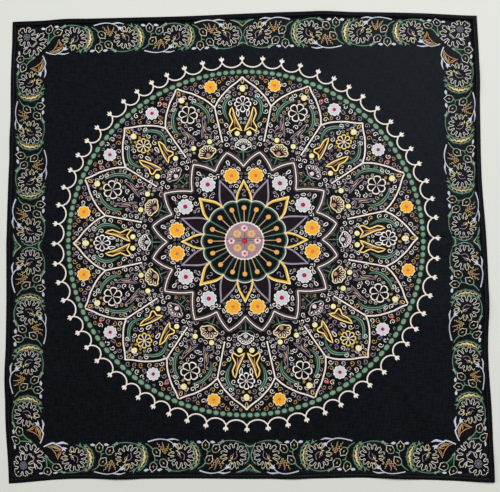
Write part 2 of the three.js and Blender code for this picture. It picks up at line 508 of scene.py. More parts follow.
def drawArchFlower(kind, place):
    y, big, count, rim, inside, heart = kind["flower"]
    fill(rim, lobed(0, y, big, big * 0.76, count, 5), place)
    fill(inside, lobed(0, y, big - 1.4, big * 0.76 - 1.4, count, 5), place)
    dye, width = ("cream", (0.4, 0.75, 1.45)) if kind["rays"] else (rim, (0.3, 0.5, 1.2))
    for i in range(count):
        turn = math.tau * i / count + math.pi / count
        ray = [(big * k * math.sin(turn), y + big * k * math.cos(turn)) for k in (0.08, 0.4, 0.72)]
        stroke(dye, ray, width, place)
    if not kind["rays"] or count == 8:
        dot(rim, 0, y, big * 0.16, 8, place)
        dot(heart, 0, y, big * 0.12, 6, place)


# A crescent leaf's lines: dye, how far to the side and up, where they start and end, and their width.
crescentLines = (
    ("midGreen", 0, 0, 0, None, (0.8, 5.2, 0.8)),
    ("green", 1.6, 0.8, 0, -2, (0.3, 0.9, 0.3)),
    ("leaf", 0.5, 0, 1, -2, (0.2, 0.8, 0.2)),
    ("green", -0.5, 0, 1, -3, (0.2, 0.7, 0.2)),
    ("shade", -1.6, -0.4, 2, -2, (0.2, 0.9, 0.2)),
)


def drawCrescent(kind, place):
    line = smooth(kind["crescent"], 3)
    for dye, dx, dy, start, end, width in crescentLines:
        stroke(dye, [(x + dx, y + dy) for x, y in line[start:end]], width, place)


def drawHorn(kind, place):
    tip, bend, heel, toe, waist, inner = (kind["horn"][i] for i in (0, 2, 5, 6, 7, 8))
    outline = smooth(kind["horn"], 2, True)
    fill(kind["hornInside"], outline, place)
    streak = [(tip[0] - 0.3, tip[1] - 7), (bend[0] - 2, bend[1] + 1), (heel[0] + 1.4, heel[1] + 1.6)]
    curve(kind["streak"], streak, (0.4, 1.0, 0.5), place)
    shadow = [(inner[0], inner[1] - 2), (waist[0] + 2, waist[1]), (toe[0] + 2, toe[1] + 2.6)]
    curve("mauve", shadow, (0.4, 0.9, 0.4), place)
    if kind["hornLine"] == "butter":
        stroke("honey", outline, 1.6, place, True)
    stroke(kind["hornLine"], outline, kind["line"], place, True)


# The fan's petals, by their turn.
fanTurns = (0, 38, -38, 80, -80)


def drawFan(kind, low):
    # The fan flower on its calyx and stem.
    y, wide, tall, rim, heart = kind["fan"]
    reaches = {turn: wide if abs(turn) > 60 else tall + 0.8 for turn in fanTurns}
    for less, dye in ((0, rim), (kind["fanLine"], "plum")):
        for turn, reach in reaches.items():
            petal = (seat(turn)(*spot) for spot in petalLine(reach - less, 3.3 - less))
            fill(dye, [(px, py + y - 1) for px, py in petal], low)
        base = (wide - 0.8 - less) * 0.9
        cup = [(base, y - 0.8), (base * 0.6, y - 4.6 + less), (0, y - 6.4 + less)]
        fill(dye, smooth(mirrored(cup), 2), low)
    for turn, reach in reaches.items():
        if turn:
            line = [seat(turn - math.copysign(20, turn))(0, reach * k) for k in (0.3, 0.6, 0.84)]
            stroke(rim, [(px, py + y - 1) for px, py in line], (0.3, 0.6, 0.5), low)
        px, py = seat(turn)(0, reach * 0.44)
        drop(kind["seed"], px, py + y - 1, turn, reach * 0.4, 1.7, low)
    core = [(0, y - 4.8)] + mirrored([(2.4, y - 3.2), (1.5, y - 0.8), (0, y + 0.2)])
    fill(heart, smooth(core, 2, True), low)
    calyx = kind["calyx"]
    curve("stem", mirrored([(-9, calyx + 1.6), (-5, calyx - 0.6), (0, calyx)]), (0.3, 1.2, 0.3), low, 3)
    stroke("stem", [(0, calyx), (0, (calyx + kind["stem"]) / 2), (0, kind["stem"])], (1.2, 0.9, 0.4), low)
    for side in (1, -1):
        curl("moss", 5.2, calyx - 4.4, 200, 2.8, -1, 0.5, seat(kind["low"], flip=side))


def drawArchInside(kind):
    axis = seat(kind["angle"])
    dotY, dotX, dotR = kind["dot"]
    loop("gold", 0, dotY + 5.5, 0, 5.2, 3.2, 0.8, axis)
    fill("lemon", ring(0, dotY, dotX, dotR, 10), axis)
    drawArchFlower(kind, axis)
    for side in (1, -1):
        place = seat(kind["angle"], flip=side)
        drawCrescent(kind, place)
        drawHorn(kind, place)
        (dx, dy), (cx, cy), (hx, hy) = kind["dots"], kind["crescent"][0], kind["horn"][8]
        dot("lemon", dx, dy, 2.9, 9, place)
        # White scrolls about the flower and under the horns.
        curl("white", cx + 5.2, cy - 0.4, -120, 3.3, 1, 0.8, place)
        curl("white", dx + 9.4, dy + 1.4, -30, 3.2, -1, 0.8, place)
        if kind["name"] != "c":
            loop("white", hx - 4.2, hy - 1.6, 8, 7.2, 3.2, 0.85, place)
        loop("lilac", 5.4, dotY - 0.5, -30, 4.8, 2.7, 0.8, place)
        curl("ochre", 3.6, dotY - 6.3, 60, 1.9, -1, 0.9, place)
        drop("mauve", dx + 4.4, dy - 3.2, 150, 5.4, 2.2, place)
    drawFan(kind, seat(kind["low"]))


# The outer ring: flowers between the arches, a band of beads and a chain of crowned scallops.
outer = {
    "beads": 19, "beadAt": 192.7, "beadLong": 3.05, "beadShort": 0.35, "beadTall": 2.25, "beadShift": 1.2,
    "rimWide": 0.5, "rimTall": 2.85, "cusp": 204.2, "dip": 198.2, "ground": 189, "band": (189.9, 196.2),
    "crowns": (0, 6.26, 12.16, 17.89, 23.66, 28.87, 34.1, 39.23, 45, 50.77),
}


def spread(step):
    # The ring's spacing is uneven: step counts crowns from the back axis, and the answer is in degrees.
    if step < 0:
        return -spread(-step)
    i = min(int(step), len(outer["crowns"]) - 2)
    return outer["crowns"][i] + (outer["crowns"][i + 1] - outer["crowns"][i]) * (step - i)


def scallop(i):
    line, steps = [], 7
    for k in range(steps + 1):
        dip = (outer["cusp"] - outer["dip"]) * (1 - (2 * k / steps - 1) ** 2) ** 0.75
        line.append(seat(spread(i + k / steps))(0, outer["cusp"] - dip))
    return line


def drawOuterRing():
    scallops = [scallop(i) for i in range(-1, 9)]
    fill("night", [spot for line in scallops for spot in line] + arc(outer["ground"], 40, -6, 51)[::-1])
    band("leaf", *outer["band"], 36)
    for i in range(outer["beads"]):
        # The beads lie closer and are smaller near the axis.
        share = math.pi * (i + 0.5) / outer["beads"]
        place = seat(share * 45 / math.pi - outer["beadShift"] * math.sin(share), outer["beadAt"])
        long = outer["beadLong"] - outer["beadShort"] * math.cos(share)
        fill("beadRim", ring(0, 0, long + outer["rimWide"], outer["rimTall"], 9), place)
        fill("bead", ring(0, 0, long, outer["beadTall"], 9), place)
    crown = mirrored([(0.7, 203.6), (0.8, 206.4), (2.7, 207.7), (2.6, 210.2), (1.2, 209.3), (0, 212)])
    for i, line in enumerate(scallops, -1):
        stroke("cream", line, 1.4)
        fill("cream", crown, seat(spread(i)))
    blossom(seat(11.35), 179.4, 7.5, 9, "straw", "orange", "heart", 1.9, 1.1)
    blossom(seat(34.3), 177.9, 7.4, 10, "white", "petal", "crimson", 2.1, 0.8)
    blossom(seat(28.9), 179.8, 2.0, 6, "red", "red", "gold", 0.7, 0.4)


# The border: one repeat of 56 mm from rosette to rosette, turned over each time.
border = {
    "middle": 236, "first": 17.4, "pitch": 56, "count": 4, "seed": 5, "large": 328.2, "small": 338.6,
    "lastShift": 4, "firstStripe": 2.0, "stripe": 3.4,
}


# One stretch of lace: a toothed rim, then a keyhole that runs inwards. The rows are a share of the stretch
# and a share of the radius.
laceRim = ((0.0, 0.99), (0.1, 1.1), (0.21, 0.99), (0.33, 1.13), (0.45, 0.99), (0.56, 0.9))
laceHole = ((0.5, 0.5), (0.56, 0.2), (0.7, 0.05), (0.84, 0.2), (0.9, 0.5))


def lace(place, radius, lobes, gap, line, turn, dye="ivory", hole=0.56):
    # A wandering lace line round a circle, left open over the gap. Its keyholes reach in to the hole's share.
    points = []
    for i in range(lobes):
        size, lean = random.uniform(0.9, 1.06), random.uniform(-0.1, 0.1)
        inner = hole + random.uniform(-0.06, 0.05)
        rows = [(share, out * size) for share, out in laceRim]
        rows += [(share + lean, inner + (0.9 - inner) * out) for share, out in laceHole] + [(0.85, 0.9)]
        for share, out in rows:
            a = math.radians(turn + gap / 2 + (360 - gap) * (i + share) / lobes)
            points.append((radius * out * math.sin(a), radius * out * math.cos(a)))
    stroke(dye, points, line, place)


def diamond(wide, low, high):
    return [(0, -low), (wide, 0), (0, high), (-wide, 0)]


def drawBud(x, y, turn, place):
    # A pointed bud: green at its calyx, cream at its tip, a small orange heart.
    cup = mirrored([(3.7, 0.6), (3.4, -2.6), (0, -4.8)])
    tip = mirrored([(3.6, -0.6), (3.9, 2.0), (2.2, 3.4), (0, 5.8)])
    body = [(0, -4.6)] + mirrored([(4, -1), (3.4, 3), (0, 5.6)])
    fill("shade", moved(body, x, y, turn), place)
    stroke("green", moved(smooth(cup, 2), x, y, turn), (0.5, 0.85, 0.5), place)
    stroke("ivory", moved(smooth(tip, 1), x, y, turn), 0.62, place)
    fill("brown", moved(diamond(1.2, 2.4, 2.4), x, y, turn), place)
    fill("gold", moved(diamond(0.6, 1.4, 1.5), x, y, turn), place)


def thorns(dye, points, every, size, place, side):
    # Small thorns along one side of a line.
    for i in range(1, len(points) - 1, every):
        (ax, ay), (bx, by) = points[i - 1], points[i + 1]
        long = math.hypot(bx - ax, by - ay) or 1
        ux, uy = (bx - ax) / long, (by - ay) / long
        nx, ny = -uy * side, ux * side
        x, y = points[i]
        fill(dye, [(x - ux * size * 0.5, y - uy * size * 0.5), (x + ux * size * 0.5, y + uy * size * 0.5),
                   (x + nx * size + ux * size * 0.7, y + ny * size + uy * size * 0.7)], place)


# The golden leaf's strokes: dye, width and line, from the base to the tip.
goldenLeaf = (
    ("gold", 1.0, ((14.4, 10.6), (18.6, 13.2), (24.4, 14.9))),
    ("amber", 0.9, ((14.8, 8.8), (16.6, 5.8), (17.2, 2.8))),
    ("amber", 0.9, ((14.4, 10.2), (17.4, 10.2), (20.2, 11.0))),
    ("peach", 0.6, ((13.4, 10.6), (17.4, 14.2), (22.4, 15.8), (27.8, 15.4))),
    ("peach", 0.6, ((27.8, 15.4), (23.4, 13.0), (21.2, 10.0), (19.6, 7.6), (18.6, 4.2), (17.3, 0.2))),
    ("peach", 0.6, ((13.4, 10.6), (14.0, 6.8), (16.2, 3.6), (17.3, 0.2))),
)

# The ragged leaf's feathers: dye, base and tip.
feathers = (
    ("gold", (17.0, 2.6), (12.8, 13.2)),
    ("gold", (17.4, 2.6), (25.6, 14.2)),
    ("tan", (17.2, 5.4), (19.4, 10.4)),
)


def feather(dye, base, tip, place):
    # One zigzag line from its base to its tip.
    dx, dy = tip[0] - base[0], tip[1] - base[1]
    long = math.hypot(dx, dy)
    count, wide = 9, 1.15
    line = []
    for i in range(count + 1):
        t = i / count
        out = (wide if i % 2 else -wide) * (0.4 + 0.6 * math.sin(math.pi * min(1, t * 1.1))) * (t < 1)
        line.append((base[0] + dx * t - dy / long * out, base[1] + dy * t + dx / long * out))
    stroke(dye, line, (0.6, 0.85, 0.4), place)


# Stems and the places of buds and commas, in most repeats and in the last one before the corner.
sprigs = {
    "inner": {
        "stems": ((((38, 13.6), (33, 10.6), (30, 7)), (0.6, 0.9, 1.4)),
                  (((28.6, -0.6), (27.6, -3.8), (24.6, -5)), (0.6, 0.9, 0.6))),
        "buds": ((26.4, 4.2, 218), (18.8, -7.6, 216), (29.7, -11.2, 180)),
        "commas": ((22.1, -14.6), (36.4, -14.8)),
    },
    "last": {
        "stems": ((((30, 6), (29.2, -1), (28.8, -8)), (0.5, 1.0, 0.8)),
                  (((30, 6), (25.6, -0.6), (20.8, -4.6)), (0.5, 1.1, 0.8))),
        "buds": ((18.8, -8, 250), (28.6, -11.9, 190)),
        "commas": ((20.2, -15), (35.3, -13.6)),
    },
}


def drawRound(place):
    # The rosette: lace, an inner curl and two pale sprays.
    fill("night", ring(0, 0, 13.6, 13.6, 20), place)
    lace(place, 12.9, 8, 122, 0.52, 38)
    lace(place, 12.7, 2, 306, 0.5, -176, "primrose")
    lace(place, 12.7, 2, 312, 0.5, -104, "primrose")
    hook = [(-2.6, -4.6), (-3.6, 0.4), (-0.6, 3.6), (3.4, 3.2), (3, 0.2), (0.6, -0.6), (0, -2.6)]
    curve("mauve", hook, 0.6, place)
    for ax, ay, bx, by in ((1.0, 0.6, 3.4, 3.6), (2.6, 4.4, 5.6, 5.2), (0.4, 7.2, 3.2, 8.6)):
        spray = [(ax, ay), ((ax + bx) / 2 - 0.4, (ay + by) / 2 + 0.4), (bx, by)]
        stroke("straw", spray, (0.5, 1.2, 0.3), place)
    # The arc with a thorny leaf on the far side of the sprig.
    under = smooth([(-9.5, -13.2), (-3, -15.4), (4, -16.1), (10.4, -15.2), (14.6, -11.6)], 3)
    stroke("fern", [(x, y + 0.9) for x, y in under], (1, 2.4, 1), place)
    stroke("divide", under, (0.5, 0.75, 0.5), place)
    fill("green", [(9.2, -15.6), (10.9, -13.6), (12, -14), (15.4, -10.4), (14, -13.4), (17.2, -13.6),
                   (13.4, -15.2), (11.6, -17)], place)


def drawTulip(shift, place):
    # The sprig along the other edge, with its tulip.
    curve("blue", [(2 + shift, 16.6), (7 + shift, 18.0), (11 + shift, 17.8), (15.4 + shift, 17.3)],
          (0.5, 1.6, 0.6), place)
    curve("blue", [(35.4 - shift, 15.4), (29 - shift / 2, 17.2), (22, 18.2), (15.4 + shift, 17.3),
                   (10.4 + shift, 14.8), (7.6 + shift, 12)], (1.3, 0.9, 0.8), place)
    tulip = ((-2.2, 1.6), (0.3, 2.4), (2.6, 1.2), (1.3, 0.2), (1.6, -2.5), (0, -0.8), (-2, -3), (-1.8, 0),
             (-4.2, 0.4))
    fill("blue", [(6.9 + shift + x, 11.4 + y) for x, y in tulip], place)


def drawSprig(last, place):
    # A leaf of two golden blades or of ragged feathers, then buds on a thorny stem, and two commas.
    sprig = sprigs["last" if last else "inner"]
    if last:
        for dye, wide, line in goldenLeaf:
            curve(dye, line, (wide * 0.5, wide, wide * 0.4), place)
        curve("fern", [(31, 7), (27.6, 0.4), (24.6, -5)], (1, 5, 2), place)
    else:
        for dye, base, tip in feathers:
            feather(dye, base, tip, place)
        stroke("rose", [(18.4, 9.2), (19.4, 11.6), (20.2, 14.8)], (0.5, 1.2, 0.5), place)
    for line, width in sprig["stems"]:
        curve("divide", line, width, place)
    if last:
        fill("green", [(27.0, 3.6), (29.6, 3.4), (31.8, 5.4), (30.4, 4.8), (30.2, 7.0)], place)
    else:
        stroke("divide", [(27.6, -3.8), (29.4, -7)], 0.9, place)
    for x, y, turn in sprig["buds"]:
        drawBud(x, y, turn, place)
    for x, y in sprig["commas"]:
        comma = [(x - 2.8, y + 0.5), (x - 0.6, y + 1.6), (x + 2.0, y + 1.1), (x + 2.7, y - 0.7), (x, y - 1.4)]
        fill("blue", comma, place)


def drawGarland(wide, place):
    # Two thorny crescents with a dashed stripe between, round the next rosette.
    outside = smooth([(45.6, 15.2), (39.4, 10.6), (36.4, 3), (36.8, -5), (41, -12.6), (46.4, -15.8)], 3)
    inside = smooth([(47.4, 14), (43.2, 8), (41.6, 1), (42.8, -6), (46.8, -12), (54, -15.8)], 3)
    for line, away in ((outside, 1), (inside, -1)):
        stroke("fern", line, (1, 4.2, 1), place)
        stroke("divide", line, (0.5, 0.9, 0.5), place)
        thorns("divide", line, 2, 3.4, place, away)
        thorns("stem", line, 3, 1.8, place, -away)
    stripe = [(42, 11.2), (40.2, 8.6), (40.5, 6.2), (39, 4), (39.7, 1.4), (38.9, -1), (40.2, -3.6), (40, -6),
              (42, -8.4), (42.6, -10.6), (44.4, -12.2)]
    stroke("shade", stripe, (1.4, wide + 1.2, 1.4), place)
    stroke("gold", stripe, (0.4, wide, 0.4), place)
    stroke("straw", [(x - 0.4, y + 0.2) for x, y in stripe], (0.2, wide * 0.4, 0.2), place)
    for x, y in stripe[1:-1]:
        fill("brown", [(x + wide / 2, y - 0.5), (x + wide / 2, y + 0.9), (x - 0.2, y + 0.5)], place)


def drawBorderUnit(index):
    x0 = border["first"] + index * border["pitch"]
    flip = -1 if index % 2 else 1
    place = lambda x, y: (x0 + x, border["middle"] + y * flip)
    last = index == border["count"] - 1
    random.seed(border["seed"] + index)
    drawRound(place)
    drawTulip(border["lastShift"] if last else 0, place)
    drawSprig(last, place)
    if not last:
        drawGarland(border["firstStripe"] if index == 0 else border["stripe"], place)


def drawLyre(side):
    # Half of the lyre at the middle of each side.
    place = lambda x, y: (x * side, y)
    waist = smooth([(5.6, 223), (3, 229), (1.0, 235), (2.4, 241), (6.2, 245)], 2)
    curve("fern", [(1.4, 223), (1.2, 235), (3, 246)], (3, 1.6, 3), place, 3)
    curve("green", [(0, 226.6), (3, 225.6), (6.6, 222.6)], (1.3, 1.1, 0.5), place)
    stroke("green", waist, (0.5, 0.8, 0.5), place)
    thorns("green", waist, 2, 1.5, place, -side)
    curve("mauve", [(5.2, 229), (4.2, 235), (6.4, 241)], (0.4, 0.9, 0.4), place)
    fill("midGreen", [(0, 248.4), (2.6, 250.4), (2.4, 246.6), (5, 249), (8.4, 251.4), (13.8, 253.2),
                      (8.6, 253.4), (4, 251.8), (1.6, 252.2), (0, 250.6)], place)
    curve("green", [(2.2, 247.4), (5.6, 250.6), (13, 253)], (0.6, 1.2, 0.4), place)
    stroke("gold", [(0, 245.4), (1.1, 246.6), (2.1, 247.8)], 0.8, place)


def drawCorner():
    # A small rosette over a larger open one, even about the diagonal.
    random.seed(border["seed"] + 9)
    large, small = seat(45, border["large"]), seat(45, border["small"])
    fill("night", ring(0, 0, 13.6, 13.6, 20), large)
    fill("night", ring(0, 0, 13, 13, 18), small)
    lace(large, 15.0, 7, 134, 0.56, 0, hole=0.5)
    lace(small, 12.2, 9, 0, 0.58, 20, hole=0.5)
    fill("slate", lobed(0, 0, 4.4, 3.4, 8), small)
    for angle in range(0, 360, 60):
        dot("shade", *seat(angle)(0, 2.4), 0.7, 5, small)
    for side in (1, -1):
        hook = [(0.6, -4.2), (3.2, -3.4), (4.4, -0.4), (7, 1.6)]
        curve("mauve", hook, (0.7, 1.0, 0.5), seat(45, border["large"], flip=side))


def drawBorder():
    inner, edge = 221, 270
    fill("night", [(-8, inner), (215, inner), (inner, 215), (edge, 215), (edge, edge), (-8, edge)])
    for index in range(border["count"]):
        drawBorderUnit(index)
    for side in (1, -1):
        drawLyre(side)
    drawCorner()


band("night", 0, 190, 30)
drawPetals()
drawStar()
drawRosette()
drawInnerFlowers()
for kind in archKinds:
    drawArchInside(kind)
drawArchLines()
drawOuterRing()
drawBorder()


def within(x, y, outline):
    inside = False
    ax, ay = outline[-1]
    for bx, by in outline:
        if (ay > y) != (by > y) and x < ax + (y - ay) / (by - ay) * (bx - ax):
            inside = not inside
        ax, ay = bx, by
    return inside


class Printed:
    # Finds the last dye printed over a place, by way of square bins.
    def __init__(self):
        self.parts, self.bins, self.wide, self.least = [], {}, 4, -4
        for dye, points, faces in marks:
            for part in faces:
                outline = [points[i] for i in part]
                for at in itertools.product(*(self.span(values) for values in zip(*outline))):
                    self.bins.setdefault(at, []).append(len(self.parts))
                self.parts.append((dye, outline))

    def span(self, values):
        return range(int(max(min(values), self.least) // self.wide), int(max(values) // self.wide) + 1)

    def dyeAt(self, x, y):
        for at in reversed(self.bins.get((int(x // self.wide), int(y // self.wide)), ())):
            if within(x, y, self.parts[at][1]):
                return self.parts[at][0]
        return "ground"


# Small scrolls fill what the larger shapes leave free, even about each arch's axis, the largest first. Each
# is a six-sided cell in which the cloth's material draws one scroll.
scrolls = {
    "seed": 11, "inner": 49, "outer": 188.6, "step": 1.0, "sizes": (3.0, 2.5, 2.05, 1.6),
    "edge": 0.3, "gap": 0.08, "slack": (0.35, 0.35, 0.35, 0.8, 9), "least": 1.9, "reach": 4, "stops": 1.2,
    "archStart": 11.5, "archMiddle": 22.4, "archEnd": 33.4, "axis": 22.45, "axisGap": 0.6,
    "within": ("white",) * 3 + ("lilac",) * 3 + ("mauve",) * 3 + ("tan", "cream"),
    "beyond": ("white", "lilac", "lilac", "mauve", "mauve", "rose", "tan", "ochre", "cream"),
}


def beyondArches(angle, out):
    for kind in archKinds:
        low, high = kind["edges"]
        if low <= angle <= high:
            edge = high if angle > kind["angle"] else low
            share = abs((angle - kind["angle"]) / (edge - kind["angle"]))
            for (s0, d0), (s1, d1) in zip(archShape, archShape[1:]):
                if s0 <= share <= s1:
                    down = d0 + (d1 - d0) * (share - s0) / (s1 - s0)
                    return out > kind["tip"] - (kind["tip"] - archFoot) * down
    return False


class Room:
    # Keeps the taken spots in square bins, and measures how far off the nearest one is.
    def __init__(self):
        self.bins, self.wide = {}, scrolls["reach"]
        for dye, points, faces in marks:
            if dye not in ("night", "leaf"):
                for part in faces:
                    for i in range(len(part)):
                        self.takeLine(points[part[i - 1]], points[part[i]])

    def take(self, x, y):
        self.bins.setdefault((int(x // self.wide), int(y // self.wide)), []).append((x, y))

    def takeLine(self, start, end):
        dx, dy = end[0] - start[0], end[1] - start[1]
        stops = int(math.hypot(dx, dy) / scrolls["stops"]) + 1
        for k in range(stops):
            self.take(start[0] + dx * k / stops, start[1] + dy * k / stops)

    def free(self, x, y):
        cx, cy = int(x // self.wide), int(y // self.wide)
        return min((math.hypot(x - px, y - py) for i in (-1, 0, 1) for j in (-1, 0, 1)
                    for px, py in self.bins.get((cx + i, cy + j), ())), default=self.wide)


def scrollPlaces():
    # Places on the bare ground, a little out of line. The second arch has them on one side of its axis.
    printed = Printed()
    places = []
    out = scrolls["inner"]
    while out < scrolls["outer"]:
        count = int(math.radians(45) * out / scrolls["step"])
        for i in range(count):
            angle = 45 * (i + random.random()) / count
            x, y = seat(angle)(0, out)
            if not scrolls["archMiddle"] < angle < scrolls["archEnd"] and printed.dyeAt(x, y) == "night":
                places.append((angle, out, x, y))
        out += scrolls["step"]
    return places


def drawScrolls():
    random.seed(scrolls["seed"])
    room = Room()
    tries = scrollPlaces()
    added = []
    for size in scrolls["sizes"]:
        wide = size + scrolls["edge"]
        need = wide + scrolls["gap"]
        for slack in scrolls["slack"]:
            left = []
            for angle, out, x, y in tries:
                free = room.free(x, y)
                if free < need:
                    if free > scrolls["least"]:
                        left.append((angle, out, x, y))
                    continue
                paired = scrolls["archStart"] < angle < scrolls["archMiddle"]
                nearAxis = paired and scrolls["axis"] - angle < scrolls["axisGap"]
                if free > need + slack or x < need or (y - x) * 0.7 < need or nearAxis:
                    left.append((angle, out, x, y))
                    continue
                twins = [(angle, 1)] + ([(2 * scrolls["axis"] - angle, -1)] if paired else [])
                turn, hand = random.uniform(0, 360), random.choice((1, -1))
                dye = random.choice(scrolls["beyond" if beyondArches(angle, out) else "within"])
                for at, way in twins:
                    added.append(scrollCell(at, out, size, dye, turn, hand * way))
                    cx, cy = seat(at, out)(0, 0)
                    for spot in ring(0, 0, wide, wide, 12):
                        room.take(cx + spot[1], cy + spot[0])
                    room.take(cx, cy)
            tries = left
    marks[1:1] = added
    return len(added)


print("stage: scrolls", drawScrolls())


# Points closer than this become one: first when the outlines are cut, then when the mesh is made.
finest, near = 1e-5, 0.02

# Loose points keep the folds smooth. They stand on a wide grid, and closer along the back axis.
loosePoints = [(x, y) for y in range(7, 250, 12) for x in range(9, 250, 12) if x < y - 2]
loosePoints += [(x, y) for y in range(7, 252, 7) for x in (1.0, 1.8, 2.6, 3.4, 4.3, 8) if x < y - 1]


def centreOf(points, tri):
    return (sum(points[i][c] for i in tri) / 3 for c in (0, 1))


def cutWedge():
    # The print's outlines cut the cloth's face. Each small face then takes the last dye printed over it.
    end = cloth["printEnd"]
    stations = 42
    spots = [(0, 0)] + [(end * (stations - i) / stations, end) for i in range(stations + 1)]
    whole = list(range(len(spots)))
    edges = set()
    for dye, points, parts in marks:
        base = len(spots)
        spots.extend(points)
        for part in parts:
            for i in range(len(part)):
                edges.add(tuple(sorted((base + part[i - 1], base + part[i]))))
    printed = Printed()
    spots = [Vector(p) for p in spots]
    found, _, tris, _, _, origins = delaunay_2d_cdt(spots, sorted(edges), [whole], 1, finest, True)
    # Only the edges where the dye changes are kept.
    sides = {}
    for tri, own in zip(tris, origins):
        if own:
            dye = printed.dyeAt(*centreOf(found, tri))
            for k in range(3):
                sides.setdefault(tuple(sorted((tri[k - 1], tri[k]))), []).append(dye)
    borders = [edge for edge, seen in sides.items() if len(seen) == 1 or seen[0] != seen[1]]
    used = sorted({i for edge in borders for i in edge})
    at = {old: new for new, old in enumerate(used)}
    spots = [found[i] for i in used] + [Vector(p) for p in loosePoints]
    edges = [(at[a], at[b]) for a, b in borders]
    found, _, tris, _, _, _ = delaunay_2d_cdt(spots, edges, [], 0, near, True)
    corners = []
    for x, y in found:
        if abs(x) < near:
            x = 0.0
        if abs(x - y) < near:
            x = y = (x + y) / 2
        corners.append((x, y))
    kept = []
    for tri in tris:
        x, y = centreOf(corners, tri)
        if 0 < x < y < end:
            kept.append((tri, printed.dyeAt(x, y)))
    return corners, kept


class Shell:
    # Collects shared corners and dyed faces, then makes one mesh.
    def __init__(self):
        self.index, self.spots, self.faces, self.colours, self.uvs, self.scrolls = {}, [], [], [], [], []

    def corner(self, x, y, height):
        key = (round(x, 3), round(y, 3), round(height, 3))
        if key not in self.index:
            self.index[key] = len(self.spots)
            self.spots.append((x, y, height))
        return self.index[key]

    def face(self, corners, dye, uv, scroll=None):
        own = [self.corner(*c) for c in corners]
        if len(set(own)) == len(own):
            # Painted shade: the border's faces take a darker tone on three sides.
            tone = sideShadeTone(*corners[0][:2])
            self.faces.append(own)
            self.colours.extend([c * tone for c in inks[dye][:3]] + [1])
            self.uvs.extend(uv)
            self.scrolls.extend(scroll or [noScroll] * len(own))

    def make(self, name):
        mesh = bpy.data.meshes.new(name)
        mesh.from_pydata([laidPoint(*spot) for spot in self.spots], [], self.faces)
        dye = mesh.attributes.new("dye", "FLOAT_COLOR", "FACE")
        dye.data.foreach_set("color", self.colours)
        layer = mesh.uv_layers.new(name="OFBake")
        layer.data.foreach_set("uv", [c for uv in self.uvs for c in uv])
        if any(spot != noScroll for spot in self.scrolls):
            scroll = mesh.uv_layers.new(name="scroll")
            scroll.data.foreach_set("uv", [c for uv in self.scrolls for c in uv])
            layer.active_render = True
        mesh.shade_smooth()
        mesh.update()
        return linked(name, mesh)


noScroll = (9.0, 9.0)  # the scroll coordinates of a face with no scroll


def linked(name, data):
    # A new object in the scene.
    obj = bpy.data.objects.new(name, data)
    bpy.context.scene.collection.objects.link(obj)
    return obj


# The border is painted a little darker on three sides than on the back one: painted shade where the light
# falls off.
sideShade = {"left": 0.17, "right": 0.08, "front": 0.07, "inner": 214, "fade": 60}


def sideShadeTone(x, y):
    if max(abs(x), abs(y)) < sideShade["inner"]:
        return 1
    if abs(x) > abs(y):
        most = sideShade["left"] if x < 0 else sideShade["right"]
    else:
        most = sideShade["front"] if y < 0 else 0
    return 1 - most * min(abs(abs(x) - abs(y)) / sideShade["fade"], 1)


def linear(code):
    parts = [int(code[i:i + 2], 16) / 255 for i in (1, 3, 5)]
    return tuple(c / 12.92 if c <= 0.04045 else ((c + 0.055) / 1.055) ** 2.4 for c in parts) + (1.0,)


inks = {name: linear(code) for name, code in dyes.items()}
inks["hem"] = linear("#050506")
inks["back"] = linear("#1b1d24")
topShare, backShare = 0.94 / 540, 0.05 / 540  # of the UV square, for each millimetre of cloth


def topUv(x, y, reach=1.0):
    return (0.47 + x * reach * topShare, 0.53 + y * reach * topShare)


def backUv(x, y):
    return (0.97 + x * backShare, 0.03 + y * backShare)


def edgeLoop(distance):
    # The station points round the cloth at a distance in from its edge, corner to corner.
    half = cloth["side"] / 2 - distance
    stations = 84
    line = []
    for k in range(4):
        for i in range(stations):
            along = -half + 2 * half * i / stations
            line.append([(along, half), (half, -along), (-along, -half), (-half, along)][k])
    return line


def addUnderside(shell, distance, step):
    loopPoints = edgeLoop(distance)
    count = len(loopPoints)
    half = cloth["side"] / 2 - distance
    stops = range(-240, 250, step)
    loose = [(x + 0.5, y + 0.5) for x in stops for y in stops if max(abs(x + 0.5), abs(y + 0.5)) < half - 5]
    spots = [Vector(p) for p in loopPoints + loose]
    found, _, tris, _, _, origins = delaunay_2d_cdt(spots, [], [list(range(count))[::-1]], 1, finest, True)
    for tri, own in zip(tris, origins):
        if own:
            spots = [found[i] for i in tri[::-1]]
            shell.face([(p.x, p.y, 0.0) for p in spots], "back", [backUv(p.x, p.y) for p in spots])


def addRings(shell, profile, dye):
    # Joins one loop round the cloth to the next, from the inside out and under. Each profile row is the
    # distance in from the edge and the height.
    reach = 0
    half = cloth["side"] / 2
    for (d0, h0), (d1, h1) in zip(profile, profile[1:]):
        a, b = edgeLoop(d0), edgeLoop(d1)
        step = math.hypot(d1 - d0, h1 - h0)
        r0 = (half - cloth["hemStart"] + reach) / (half - d0)
        r1 = (half - cloth["hemStart"] + reach + step) / (half - d1)
        reach += step
        for i in range(len(a)):
            j = (i + 1) % len(a)
            quad = [(*a[i], h0), (*a[j], h0), (*b[j], h1), (*b[i], h1)]
            uv = [topUv(*a[i], r0), topUv(*a[j], r0), topUv(*b[j], r1), topUv(*b[i], r1)]
            shell.face(quad[::-1], dye, uv[::-1])


def scrollSpots(cell, flat, mirror):
    # Where a face's corners lie in its cell, in cell sizes. A cell on an axis is whole in one wedge and
    # mirrored in the other, so there its corners are turned over first.
    (cx, cy), (ux, uy) = cell["at"], cell["across"]
    if mirror < 0 and cell["axis"] == "back":
        flat = [(-x, y) for x, y in flat]
    if mirror < 0 and cell["axis"] == "diagonal":
        flat = [(y, x) for x, y in flat]
    return [(((x - cx) * ux + (y - cy) * uy) / cell["size"] + cell["shift"],
             ((y - cy) * ux - (x - cx) * uy) * cell["hand"] / cell["size"]) for x, y in flat]


